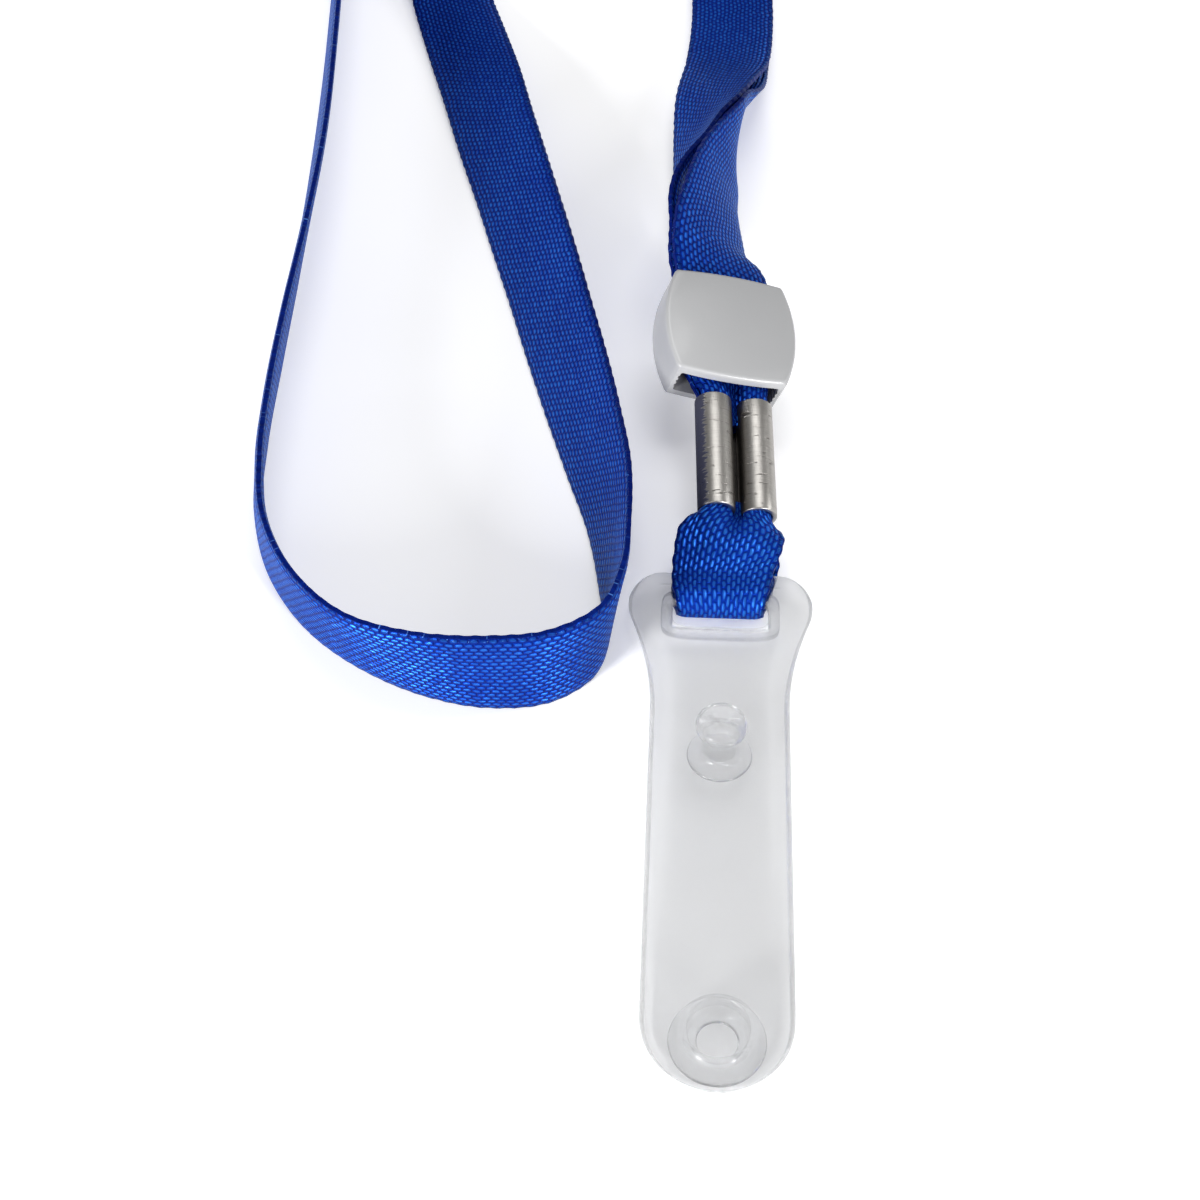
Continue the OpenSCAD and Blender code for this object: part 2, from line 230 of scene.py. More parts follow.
def blendedKeys(keys, step):
    # a smooth curve through rows of numbers whose first three are a place; also says which samples are keys
    keys = [list(map(float, key)) for key in keys]
    gaps = [max(1e-6, (Vector(b[:3]) - Vector(a[:3])).length) for a, b in zip(keys, keys[1:])]

    def slope(i, k):
        if i == 0:
            return (keys[1][k] - keys[0][k]) / gaps[0]
        if i == len(keys) - 1:
            return (keys[-1][k] - keys[-2][k]) / gaps[-1]
        before, after = gaps[i - 1], gaps[i]
        return ((keys[i][k] - keys[i - 1][k]) / before * after
                + (keys[i + 1][k] - keys[i][k]) / after * before) / (before + after)

    samples, marks = [keys[0]], [0]
    for i, gap in enumerate(gaps):
        count = max(1, round(gap / step))
        for n in range(1, count + 1):
            t = n / count
            a, b = 2 * t ** 3 - 3 * t ** 2 + 1, t ** 3 - 2 * t ** 2 + t
            c, d = 3 * t ** 2 - 2 * t ** 3, t ** 3 - t ** 2
            samples.append([a * keys[i][k] + b * gap * slope(i, k)
                            + c * keys[i + 1][k] + d * gap * slope(i + 1, k) for k in range(len(keys[0]))])
        marks.append(len(samples) - 1)
    return samples, marks


def distances(places):
    run = [0.0]
    for a, b in zip(places, places[1:]):
        run.append(run[-1] + (b - a).length)
    return run


def wovenStrip(bm, rows, place, runAt, columns):
    # a grid laid on the middle surface of one length of webbing; place(row, across) gives millimetres
    lay = bm.loops.layers.uv.get("lay") or bm.loops.layers.uv.new("lay")
    body = bm.verts.layers.deform.verify()
    strip = bmesh.ops.create_grid(bm, x_segments=columns, y_segments=rows, size=1)["verts"]
    half = webbing["width"] / 2
    atEdge, besideEdge = 0.99, 0.84
    here = {}
    for vertex in strip:
        row = round((vertex.co.y + 1) / 2 * rows)
        share = vertex.co.x
        edge = abs(share)
        across = share * half
        if edge > atEdge:  # the selvage is scalloped where the weft turns back
            wave = webbing["scallopDepth"] * math.sin(runAt(row) * math.tau / webbing["scallop"])
            across += math.copysign(wave - webbing["scallopIn"], share)
        here[vertex] = (runAt(row), share * half + half)
        thin = webbing["edgeThin"] if edge > atEdge else webbing["besideEdgeThin"]
        vertex[body][0] = thin if edge > besideEdge else 1.0
        vertex.co = place(row, across)
    for face in {face for vertex in strip for face in vertex.link_faces}:
        face.smooth = True
        for loop in face.loops:
            along, across = here[loop.vert]
            loop[lay].uv = (along / layUnit, across / layUnit)


def newObject(name, bm, material):
    mesh = bpy.data.meshes.new(name)
    bm.to_mesh(mesh)
    bm.free()
    made = bpy.data.objects.new(name, mesh)
    bpy.context.scene.collection.objects.link(made)
    mesh.materials.append(material)
    return made


def subdivide(piece, levels):
    smoothing = piece.modifiers.new("round", "SUBSURF")
    smoothing.levels = smoothing.render_levels = levels


def shadeSmooth(piece):
    for face in piece.data.polygons:
        face.use_smooth = True


def finishPiece(name, bm, material, transform, thick=None, levels=0, sharp=40):
    # bm in millimetres becomes an object at the origin, in metres
    bmesh.ops.transform(bm, matrix=transform, verts=bm.verts)
    piece = newObject(name, bm, material)
    if thick:
        piece.vertex_groups.new(name="body")
        wall = piece.modifiers.new("wall", "SOLIDIFY")
        wall.thickness, wall.offset = thick * mm, 0
        wall.vertex_group = "body"
        wall.use_even_offset = False
    if levels:
        subdivide(piece, levels)
    settle(piece)
    shadeSmooth(piece)
    piece.data.set_sharp_from_angle(angle=math.radians(sharp))
    return piece


def settle(piece):
    # the modifiers' result becomes the mesh
    graph = bpy.context.evaluated_depsgraph_get()
    graph.update()
    made = bpy.data.meshes.new_from_object(piece.evaluated_get(graph), preserve_all_data_layers=True,
                                           depsgraph=graph)
    piece.modifiers.clear()
    piece.data = made
    made.name = piece.name


def strapPoint(along, side):
    pitch, yaw, roll = (math.radians(strapLine[k]) for k in ("pitch", "yaw", "roll"))
    c, s = math.cos(pitch), math.sin(pitch)
    return (Vector(strapLine["foot"]) + along * Vector((-math.sin(yaw) * c, math.cos(yaw) * c, s))
            + side * Vector((math.sin(roll), -s * math.cos(roll), c * math.cos(roll))))


packHalf = 0.55  # half the distance between the two layers that lie in the slider
crimpMouth = strapLine["crimp"] + 0.2
# each point is x, y, z and the turn of the webbing about its own run, in degrees
upperStart = [(*strapPoint(along, packHalf), -strapLine["roll"])
              for along in (crimpMouth, strapLine["sliderTo"])]
lowerEnd = [(*strapPoint(along, -packHalf), strapLine["roll"] - 360)
            for along in (strapLine["sliderTo"], crimpMouth)]
upperTwist = [
    (-1, 38, 10.7, -24), (-1.5, 42, 10.7, -40), (-1.3, 46, 10.3, -50), (-1, 50, 9.8, -58),
    (-0.5, 54, 9.1, -66), (0.5, 59, 8, -78), (1, 64, 6.8, -98), (0.3, 70, 4.9, -131),
    (0, 77, 3.2, -158), (0.3, 85, 1.6, -176), (1, 95, 0.8, -180), (1, 106, 0.8, -177)]
neckMiddle = [
    (0, 118, 2.9, -150), (-2, 132, 4.75, -115), (-2.5, 150, 5.1, -92), (-2.5, 170, 5.1, -90),
    (-4, 181, 5.1, -90), (-9, 190, 5.1, -90), (-16, 196, 5.1, -90), (-24, 197, 5.1, -90),
    (-32, 193, 5.1, -90), (-38, 184, 5.1, -90), (-41, 170, 5.1, -90), (-41.5, 150, 5, -98),
    (-40.5, 130, 4, -133), (-37.8, 113, 2, -162), (-35, 101, 0.9, -178),
    # wide strand, rising on to its edge
    (-32, 90, 1.3, -190), (-29.3, 80, 2.15, -200), (-26.8, 70, 2.8, -209), (-24.4, 61, 3.3, -216),
    (-22, 52, 3.55, -220), (-19.6, 43, 3.8, -224), (-17.3, 34, 4, -228), (-15.2, 26, 4.2, -232),
    (-12.9, 17, 4.5, -239), (-11, 9, 4.8, -247), (-10.2, 2, 5, -254), (-10, -4, 5.1, -260),
    # the near turn, on edge
    (-11.3, -9.4, 5.2, -266), (-15.3, -12.6, 5.2, -269), (-21, -13.6, 5.2, -269),
    (-27, -13, 5.2, -264), (-33.3, -10.6, 5.1, -259), (-38.9, -5.9, 5.1, -263),
    (-43, 0.7, 5.1, -270), (-45.2, 9, 5.1, -278), (-45.9, 18, 5.1, -280), (-46.1, 30, 5.1, -281),
    # thin strand, away on its edge
    (-46.1, 44, 5.1, -284), (-46.4, 60, 5.1, -286), (-47.5, 80, 5.1, -284),
    (-49.1, 101, 5.1, -282), (-51, 125, 5.1, -276), (-52, 150, 5.1, -270),
    # the outer turn
    (-52, 172, 5.1, -270), (-49.5, 187, 5.1, -270), (-43, 199, 5.1, -270), (-33, 206, 5.1, -270),
    (-22, 208, 5.1, -270), (-11, 205, 5.1, -270), (-1, 197, 5.1, -270), (5, 185, 5.1, -270),
    (7, 170, 5.1, -268), (6.5, 150, 5, -255), (5, 132, 4, -225), (2.5, 118, 3, -195)]
lowerTwist = [
    (1, 106, 2.1, -183), (1, 95, 2.1, -181), (0.4, 85, 3.1, -187), (-1, 77, 4.9, -202),
    (-2, 70, 5.9, -222), (-3.1, 64, 6.5, -240), (-4, 59, 6.8, -250), (-4.8, 54, 7.3, -263),
    (-4.9, 50, 7.8, -275), (-4.1, 46, 8.3, -292), (-2.6, 42, 8.7, -312), (-1.5, 38, 9, -332)]

# the second finish, for the hanger loop, is the same webbing with its tone raised 0.12 by lift: painted light
# on the loop
royalWebbing = webbingFinish("royalWebbing", webbing["rowPitch"], shine=0.62, lift=-0.12)
pulledLitWebbing = webbingFinish("pulledLitWebbing", webbing["pulledPitch"], shine=0.66, lift=0.0)
route, marks = blendedKeys(upperStart + upperTwist + neckMiddle + lowerTwist + lowerEnd, webbing["step"])
routePlaces = [Vector(sample[:3]) for sample in route]
routeRun = distances(routePlaces)
upperFrom = marks[len(upperStart) - 1]
neckFrom = marks[len(upperStart) + len(upperTwist) - 1]
neckTo = marks[len(upperStart) + len(upperTwist) + len(neckMiddle)]
lowerTo = marks[len(upperStart) + len(upperTwist) + len(neckMiddle) + len(lowerTwist)]


def routeSection(i):
    # the way across the webbing at one sample
    heading = (routePlaces[min(i + 1, len(route) - 1)] - routePlaces[max(i - 1, 0)]).normalized()
    level = heading.cross(Vector((0, 0, 1))).normalized()
    turn = math.radians(route[i][3])
    return math.cos(turn) * level + math.sin(turn) * level.cross(heading)


def routeStrip(name, first, last):
    def place(row, across):
        return routePlaces[first + row] + across * routeSection(first + row)

    bm = bmesh.new()
    wovenStrip(bm, last - first, place, lambda row: routeRun[first + row], webbing["columns"])
    return finishPiece(name, bm, royalWebbing, toOrigin, webbing["thick"])


neckWebbing = routeStrip("neckWebbing", neckFrom, neckTo)
upperWebbing = routeStrip("upperTwistWebbing", upperFrom, neckFrom)
lowerWebbing = routeStrip("lowerTwistWebbing", neckTo, lowerTo)
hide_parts("strap_neck_run")
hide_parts("strap_upper_twist")
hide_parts("strap_lower_twist")
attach(neckWebbing, "root")
neckPath = [toOrigin @ place for place in routePlaces[neckFrom:neckTo + 1]]
distances(neckPath)[-1]
for strand, far, near in ((upperWebbing, neckFrom, upperFrom), (lowerWebbing, neckTo, lowerTo)):
    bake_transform(strand)
print("neck webbing laid,", round(distances(neckPath)[-1], 4), "m from seam to seam")


# webbing in the slider, and the loop that carries the clip

gather = {"squeeze": 0.66, "open": 0.96, "barrelAt": 2.15, "barrelHalf": 1.4, "crown": 1.2, "sink": 0.3,
          "floor": -0.95, "settle": 5.5, "tucked": 2.5}


def easeIn(value):
    value = min(1, max(0, value))
    return value * value * (3 - 2 * value)


def crown(x):
    # height of the gathered webbing where it fills the two barrels
    share = (abs(x) - gather["barrelAt"]) / gather["barrelHalf"]
    return gather["crown"] * math.sqrt(max(0, 1 - share * share)) - gather["sink"]


def gatheredPoint(along, across, side, spread):
    # one layer between the crimp (spread 0) and the slider (spread 1)
    x = across * (gather["squeeze"] + (gather["open"] - gather["squeeze"]) * spread)
    low = crown(x) if side > 0 else gather["floor"]
    z = low * (1 - spread) + side * packHalf * spread
    shift = strapLine["crimpShift"] * (1 - spread)
    return onStrapMm @ Vector((x + shift, along, z))


onStrapMm = toOrigin.inverted() @ onStrap


def sliderWebbingPiece():
    bm = bmesh.new()
    first, last = strapLine["crimp"] - gather["tucked"], strapLine["sliderTo"]
    rows = round((last - first) / webbing["step"])
    for side in (1, -1):
        def place(row, across):
            along = first + (last - first) * row / rows
            return gatheredPoint(along, across, side, easeIn((along - strapLine["crimp"]) / gather["settle"]))
        wovenStrip(bm, rows, place, lambda row: (last - first) * row / rows, webbing["columns"])
    return finishPiece("sliderWebbing", bm, royalWebbing, toOrigin, webbing["thick"])


# a zero, then y and z of the layer's middle, roll, sideways shift, width share and how far it is gathered
hangerKeys = [
    (0, 9.6, 4.05, 16, 1.5, 0.66, 1), (0, 8.2, 3.8, 16, 1.5, 0.67, 1), (0, 7.5, 3.9, 15, 1.4, 0.76, 0.85),
    (0, 6.5, 4.15, 12, 1.2, 0.93, 0.5), (0, 5.2, 4.2, 8, 0.9, 1.02, 0.2), (0, 3.6, 3.9, 4, 0.6, 1.01, 0.05),
    (0, 2.3, 3.35, 2, 0.3, 0.98, 0), (0, 1.2, 3.1, 0, 0.15, 0.95, 0), (0, -0.3, 3.06, 0, 0, 0.92, 0),
    (0, -1.35, 2.98, 0, 0, 0.87, 0), (0, -1.98, 2.6, 0, 0, 0.83, 0), (0, -2.2, 1.9, 0, 0, 0.80, 0),
    (0, -2.15, 1.2, 0, 0, 0.80, 0), (0, -1.8, 0.62, 0, 0, 0.82, 0), (0, -1.1, 0.46, 0, 0, 0.86, 0),
    (0, 0.5, 0.46, 0, 0.1, 0.93, 0), (0, 2, 0.55, 0, 0.3, 0.98, 0), (0, 3.8, 1.1, 2, 0.6, 1.0, 0),
    (0, 5.6, 1.85, 7, 1.0, 0.92, 0), (0, 7.2, 2.5, 13, 1.4, 0.78, 0), (0, 8.3, 2.85, 16, 1.5, 0.68, 0),
    (0, 9.6, 3.15, 16, 1.5, 0.66, 0)]


def hangerPiece():
    samples, _ = blendedKeys(hangerKeys, webbing["pulledStep"])
    places = [Vector((s[4], s[1], s[2])) for s in samples]
    run = distances(places)

    def place(row, across):
        _, y, z, roll, shift, share, gathered = samples[row]
        roll = math.radians(roll)
        x = across * share
        up = crown(x) * gathered
        return Vector((shift + x * math.cos(roll), y - 0.2 * up, z - x * math.sin(roll) + up))

    bm = bmesh.new()
    wovenStrip(bm, len(samples) - 1, place, lambda row: run[row], webbing["pulledColumns"])
    return finishPiece("hangerWebbing", bm, pulledLitWebbing, toOrigin, webbing["thick"])


sliderWebbing = sliderWebbingPiece()
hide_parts("strap_slider_run", "strap_crimped_run")
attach(sliderWebbing, "root")
hangerWebbing = hangerPiece()
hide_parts("strap_hanger_run")
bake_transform(hangerWebbing)
print("webbing gathered round the clip bar")


# crimp

crimp = {"barrel": 2.1, "wall": 0.5, "seam": 0.1, "tuck": 28, "steps": 26, "rows": 6, "rim": 0.13,
         "nickel": (0.40, 0.385, 0.365), "dull": (0.29, 0.28, 0.26), "scratch": (0.12, 0.11, 0.10),
         "grooveShade": (0.07, 0.06, 0.055), "reflectedNavy": (0.02, 0.022, 0.05)}


def nickelFinish():
    f = Finish("scratchedNickel", {})
    lie = f.node("ShaderNodeTexCoord", {}, {}, out=3)
    lie = f.node("ShaderNodeMapping", {"vector_type": "TEXTURE"},
                 {0: lie, 1: onCrimp.translation, 2: onCrimp.to_euler()})
    split = f.node("ShaderNodeSeparateXYZ", {}, {0: lie})
    sideways = split * 1000
    along = Wire(f, split.socket.node.outputs[1]) * 1000
    height = Wire(f, split.socket.node.outputs[2]) * 1000
    lines = f.drawnNoise((sideways * 0.07, along * 0.62, height * 0.07), 1.0, 3.0)
    cloudy = f.drawnNoise((sideways * 0.3, along * 0.25, height * 0.3), 1.0, 3.0)
    fine = f.drawnNoise((sideways * 0.35, along * 9, height * 0.35), 1.5, 2.0)
    patchy = f.drawnNoise((sideways * 0.9, along * 0.8, height * 0.9), 1.0, 2.0)
    scratch = f.smooth(f.single("ABSOLUTE", lines - 0.5), 0.0, 0.012, 1, 0) * f.smooth(patchy, 0.44, 0.56)
    # a dark blue strip along the left edge, less metallic and rougher than the rest: a painted reflection of
    # the navy webbing beside the crimp
    spikes = f.drawnNoise((sideways * 0.2, along * 2.4), 1.4, 3.0)
    paintedReflection = f.smooth(sideways + spikes * 1.5, -2.85, -2.7, 1, 0)
    # the middle groove between the two barrels is darkened: painted shade in the recess
    groove = f.smooth(f.single("ABSOLUTE", sideways), 0.25, 1.25, 1, 0)
    colour = f.blendColour(f.smooth(fine, 0.35, 0.7) * 0.5, rgba(crimp["nickel"]), rgba(crimp["dull"]))
    colour = f.blendColour(scratch * 0.85, colour, rgba(crimp["scratch"]))
    colour = f.blendColour(groove * 0.8, colour, rgba(crimp["grooveShade"]))
    colour = f.blendColour(paintedReflection * 0.97, colour, rgba(crimp["reflectedNavy"]))
    f.feed({"Base Color": colour, "Metallic": 1 - paintedReflection * 0.9,
            "Roughness": 0.28 + cloudy * 0.12 + fine * 0.1 + paintedReflection * 0.4,
            "Normal": f.bump(fine * 0.4 - scratch * 1.2 + cloudy * 0.4, 0.00004, 0.8)})
    return f.material


def roundRims(bm, offset, segments):
    # bevels every edge where the surface turns by more than 60 degrees
    rims = [edge for edge in bm.edges if edge.calc_face_angle(0) > math.radians(60)]
    bmesh.ops.bevel(bm, geom=rims, affect="EDGES", offset=offset, segments=segments, profile=0.5, material=-1)


def crimpPiece():
    # one sheet rolled from the middle seam over each barrel, joined across the back
    bm = bmesh.new()
    mid = crimp["barrel"] - crimp["wall"] / 2
    centre = crimp["barrel"] + crimp["seam"] / 2
    start = math.radians(-crimp["tuck"])
    ends = [bm.verts.new((-centre + mid * math.cos(start), y, mid * math.sin(start)))
            for y in [strapLine["crimp"] * n / crimp["rows"] for n in range(crimp["rows"] + 1)]]
    edges = [bm.edges.new(pair) for pair in zip(ends, ends[1:])]
    rolling = {"axis": (0, 1, 0), "dvec": (0, 0, 0), "angle": -math.radians(270 + crimp["tuck"]),
               "steps": crimp["steps"], "use_merge": False, "use_duplicate": False}
    made = bmesh.ops.spin(bm, geom=ends + edges, cent=(-centre, 0, 0), **rolling)["geom_last"]
    last = [part for part in made if isinstance(part, bmesh.types.BMEdge)]
    flat = bmesh.ops.extrude_edge_only(bm, edges=last)["geom"]
    corners = [part for part in flat if isinstance(part, bmesh.types.BMVert)]
    bmesh.ops.translate(bm, verts=corners, vec=(2 * centre, 0, 0))
    last = [part for part in flat if isinstance(part, bmesh.types.BMEdge)]
    bmesh.ops.spin(bm, geom=corners + last, cent=(centre, 0, 0), **rolling)
    bmesh.ops.remove_doubles(bm, verts=bm.verts, dist=0.001)
    bmesh.ops.recalc_face_normals(bm, faces=bm.faces)
    bmesh.ops.solidify(bm, geom=bm.faces[:], thickness=crimp["wall"])
    bm.normal_update()
    roundRims(bm, crimp["rim"], 3)
    bmesh.ops.recalc_face_normals(bm, faces=bm.faces)
    return finishPiece("doubleCrimp", bm, nickelFinish(), onCrimp, sharp=50)


doubleCrimp = crimpPiece()
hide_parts("crimp")
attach(doubleCrimp, "root")
print("crimp rolled")


# slider

slider = {"slotWidth": 10.3, "slotHeight": 3.0, "wall": 0.4, "bulge": 1.4, "endBulge": 0.5, "thick": 5.0,
          "round": 0.42, "slotRound": 0.25, "sides": 144, "ribPitch": 0.7, "rib": 0.1,
          "cutPast": 4, "ribPast": 3,
          "grey": (0.325, 0.327, 0.333), "pale": (0.35, 0.352, 0.358)}


def sliderFinish():
    f = Finish("greyGlossPlastic", {"Specular IOR Level": 0.5, "Coat Roughness": 0.12})
    where = f.node("ShaderNodeTexCoord", {}, {}, out=3)
    broad = f.noise(where, 160, 2.0)
    fine = f.noise(where, 2600, 3.0)
    speck = f.noise(where, 900, 1.0)
    colour = f.blendColour(broad * 0.8 + fine * 0.2, rgba(slider["grey"]), rgba(slider["pale"]))
    f.feed({"Base Color": colour, "Roughness": 0.30 + broad * 0.10 + f.smooth(speck, 0.6, 0.75) * 0.06,
            "Coat Weight": 0.25 + broad * 0.1,
            "Normal": f.bump(fine * 0.6 + broad, 0.00003, 0.35)})
    return f.material


def sliderReach(angle):
    # how far the barrel-shaped outline lies from the middle, along one direction
    halfWidth = slider["slotWidth"] / 2 + slider["wall"] + slider["bulge"]
    halfLength = strapLine["slider"] / 2
    sideR = (halfLength ** 2 + slider["bulge"] ** 2) / (2 * slider["bulge"])
    endR = (halfWidth ** 2 + slider["endBulge"] ** 2) / (2 * slider["endBulge"])
    way = Vector((abs(math.cos(angle)), abs(math.sin(angle))))
    reach = []
    for centre, radius in ((Vector((halfWidth - sideR, 0)), sideR), (Vector((0, halfLength - endR)), endR)):
        b = way.dot(centre)
        reach.append(b + math.sqrt(b * b - centre.length_squared + radius * radius))
    return min(reach)


def sliderPiece():
    bm = bmesh.new()
    middle = strapLine["sliderFrom"] + strapLine["slider"] / 2
    disc = bmesh.ops.create_circle(bm, cap_ends=True, segments=slider["sides"], radius=1)["verts"]
    for vertex in disc:
        angle = math.atan2(vertex.co.y, vertex.co.x)
        reach = sliderReach(angle)
        vertex.co = (reach * math.cos(angle), reach * math.sin(angle), -slider["thick"] / 2)
    block = bmesh.ops.extrude_face_region(bm, geom=bm.faces[:])["geom"]
    bmesh.ops.translate(bm, verts=[part for part in block if isinstance(part, bmesh.types.BMVert)],
                        vec=(0, 0, slider["thick"]))
    bmesh.ops.recalc_face_normals(bm, faces=bm.faces)
    roundRims(bm, slider["round"], 4)
    bmesh.ops.translate(bm, verts=bm.verts, vec=(0, middle, 0))
    piece = finishPiece("webbingSlider", bm, sliderFinish(), onStrap, sharp=60)

    cut = bmesh.new()
    hole = bmesh.ops.create_cube(cut, size=1)["verts"]
    holeLength = strapLine["slider"] + slider["cutPast"]
    bmesh.ops.scale(cut, verts=hole, vec=(slider["slotWidth"], holeLength, slider["slotHeight"]))
    corners = [edge for edge in cut.edges if abs((edge.verts[0].co - edge.verts[1].co).normalized().y) > 0.9]
    bmesh.ops.bevel(cut, geom=corners, affect="EDGES", offset=slider["slotRound"], segments=3, profile=0.5,
                    material=-1)
    ribSize = (2 * slider["rib"], strapLine["slider"] + slider["ribPast"], slider["ribPitch"] / 2)
    for side in (-1, 1):
        for row in (-1, 0, 1):
            rib = bmesh.ops.create_cube(cut, size=1)["verts"]
            ribPlace = (side * slider["slotWidth"] / 2, 0, row * slider["ribPitch"])
            bmesh.ops.scale(cut, verts=rib, vec=ribSize)
            bmesh.ops.translate(cut, verts=rib, vec=ribPlace)
    bmesh.ops.translate(cut, verts=cut.verts, vec=(0, middle, 0))
    tool = finishPiece("slotCutter", cut, piece.data.materials[0], onStrap)
    hollow = piece.modifiers.new("slot", "BOOLEAN")
    hollow.operation, hollow.solver, hollow.object, hollow.use_self = "DIFFERENCE", "EXACT", tool, True
    settle(piece)
    bpy.data.objects.remove(tool)
    shadeSmooth(piece)
    piece.data.set_sharp_from_angle(angle=math.radians(35))
    return piece


webbingSlider = sliderPiece()
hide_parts("slider")
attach(webbingSlider, "slider")
print("slider cut")


# clear clip

clip = {"sheet": 1.2, "band": 12.4, "head": 17.4, "corner": 3.5, "endCorner": 6.1,
        "neckFrom": 4.4, "neckLength": 11, "neckPower": 1.8, "slotHigh": 3.4, "slotWide": 8.9,
        "rimWide": 1.1, "rimHigh": 0.3, "rimPower": 5, "rimSides": 72, "turnSteps": 56,
        "bead": 0.3, "beadIn": 0.55, "beadHalf": 0.75,
        "rowStep": 1.1, "foldStep": 0.7, "foldReach": 6,
        "shade": (0.44, 0.448, 0.462), "clear": (0.49, 0.494, 0.50),
        "bossShade": (0.90, 0.91, 0.92), "bossClear": (0.96, 0.96, 0.965),
        "columns": (-1, -0.93, -0.82, -0.68, -0.5, -0.25, 0, 0.25, 0.5, 0.68, 0.82, 0.93, 1)}
stud = {"fromTop": 21, "span": 28.2, "sunk": 0.1, "socketSunk": 0.05}
clip["slotTop"] = layout["clipTop"] - layout["barWidth"]
clip["slotBottom"] = clip["slotTop"] - clip["slotHigh"]
stud["y"] = layout["clipTop"] - stud["fromTop"]
stud["socketY"] = stud["y"] - stud["span"]
stud["foldY"] = (stud["y"] + stud["socketY"]) / 2


def clearFinish(name, shade, clear, alpha, bend):
    f = Finish(name, {"Transmission Weight": 1.0, "IOR": bend, "Specular IOR Level": 0.8})
    where = f.node("ShaderNodeTexCoord", {}, {}, out=3)
    cloudy = f.noise(where, 70, 3.0)
    scuff = f.noise(where, 900, 2.0)
    f.feed({"Base Color": f.blendColour(cloudy, rgba(shade), rgba(clear)),
            "Alpha": alpha + cloudy * 0.12,
            "Roughness": 0.10 + cloudy * 0.08 + f.smooth(scuff, 0.6, 0.8) * 0.05,
            "Normal": f.bump(cloudy * 0.8 + scuff * 0.1, 0.00012, 0.3)})
    return f.material


def clipHalf(y):
    corner, endCorner = clip["corner"], clip["endCorner"]
    top = layout["clipTop"] - corner
    low = layout["clipEnd"] + endCorner
    if y > top:
        return clip["head"] / 2 - corner + math.sqrt(max(0, corner ** 2 - (y - top) ** 2))
    if y < low:
        return clip["band"] / 2 - endCorner + math.sqrt(max(0, endCorner ** 2 - (low - y) ** 2))
    share = min(1, max(0, (layout["clipTop"] - clip["neckFrom"] - y) / clip["neckLength"]))
    return clip["band"] / 2 + (clip["head"] - clip["band"]) / 2 * (1 - share) ** clip["neckPower"]


def edgeDistance(x, y):
    # how far a point of the sheet lies inside its outline
    low = layout["clipEnd"] + clip["endCorner"]
    if y < low:
        flat = clip["band"] / 2 - clip["endCorner"]
        return y - layout["clipEnd"] if x < flat else clip["endCorner"] - math.hypot(x - flat, low - y)
    return min(clipHalf(y) - x, layout["clipTop"] - y)


def clipRows():
    rows = [layout["clipEnd"] + clip["endCorner"] * (1 - math.cos(math.radians(a))) for a in range(0, 90, 10)]
    y = rows[-1]
    while y < clip["slotBottom"] - 2.4:
        y += clip["rowStep"] if abs(y - stud["foldY"]) > clip["foldReach"] else clip["foldStep"]
        rows.append(y)
    rows += [clip["slotBottom"] - 1.2, clip["slotBottom"] - 0.25, clip["slotBottom"]]
    rows += [clip["slotBottom"] + clip["slotHigh"] * share for share in (0.2, 0.5, 0.8, 1)]
    rows += [clip["slotTop"] + 0.25]
    rows += [layout["clipTop"] - clip["corner"] * (1 - math.sin(math.radians(a))) for a in range(20, 100, 10)]
    return rows


def clipSheet(material):
    rows = clipRows()
    wide, long = len(clip["columns"]) - 1, len(rows) - 1
    bm = bmesh.new()
    sheet = bmesh.ops.create_grid(bm, x_segments=wide, y_segments=long, size=1)["verts"]
    for vertex in sheet:
        share = clip["columns"][round((vertex.co.x + 1) / 2 * wide)]
        y = rows[round((vertex.co.y + 1) / 2 * long)]
        half = clipHalf(y)
        inner = min(clip["slotWide"] / 2, 0.72 * half)
        size = abs(share)
        x = inner * size / 0.5 if size <= 0.5 else inner + (half - inner) * (size - 0.5) / 0.5
        bead = clip["bead"] * easeIn(1 - abs(edgeDistance(x, y) - clip["beadIn"]) / clip["beadHalf"])
        vertex.co = (math.copysign(x, share), y, clip["sheet"] / 2 + bead)
    hole = [face for face in bm.faces if abs(face.calc_center_median().x) < clip["slotWide"] / 2 - 0.05
            and clip["slotBottom"] < face.calc_center_median().y < clip["slotTop"]]
    bmesh.ops.delete(bm, geom=hole, context="FACES")
    bmesh.ops.transform(bm, matrix=onClip, verts=bm.verts)
    piece = newObject("clearStrap", bm, material)
    wall = piece.modifiers.new("wall", "SOLIDIFY")
    wall.thickness, wall.offset = clip["sheet"] * mm, 0
    subdivide(piece, 2)
    settle(piece)
    shadeSmooth(piece)
    return piece


def roundedRectangle(bm, width, height, z):
    ring = bmesh.ops.create_circle(bm, cap_ends=False, segments=clip["rimSides"], radius=1)["verts"]
    middle = (clip["slotTop"] + clip["slotBottom"]) / 2
    power = clip["rimPower"]
    for vertex in ring:
        angle = math.atan2(vertex.co.y, vertex.co.x)
        c, s = math.cos(angle), math.sin(angle)
        reach = (abs(c / (width / 2)) ** power + abs(s / (height / 2)) ** power) ** (-1 / power)
        vertex.co = (reach * c, middle + reach * s, z)
    return [edge for edge in bm.edges if edge.verts[0] in ring and edge.verts[1] in ring]


def slotRim(material):
    # the raised lip round the strap slot
    bm = bmesh.new()
    low, high = clip["sheet"] * 0.55, clip["sheet"] + clip["rimHigh"]
    wide, tall, out = clip["slotWide"] + 0.1, clip["slotHigh"] + 0.1, 2 * clip["rimWide"]
    # how much wider than the slot each ring is, and its height
    rings = ((0, low), (0, high - 0.12), (0.25, high),
             (out - 0.5, high), (out - 0.1, high - 0.15), (out, low))
    loops = [roundedRectangle(bm, wide + more, tall + more, z) for more, z in rings]
    for first, second in zip(loops, loops[1:] + loops[:1]):
        bmesh.ops.bridge_loops(bm, edges=first + second)
    bmesh.ops.recalc_face_normals(bm, faces=bm.faces)
    return finishPiece("slotRim", bm, material, onClip, sharp=50)


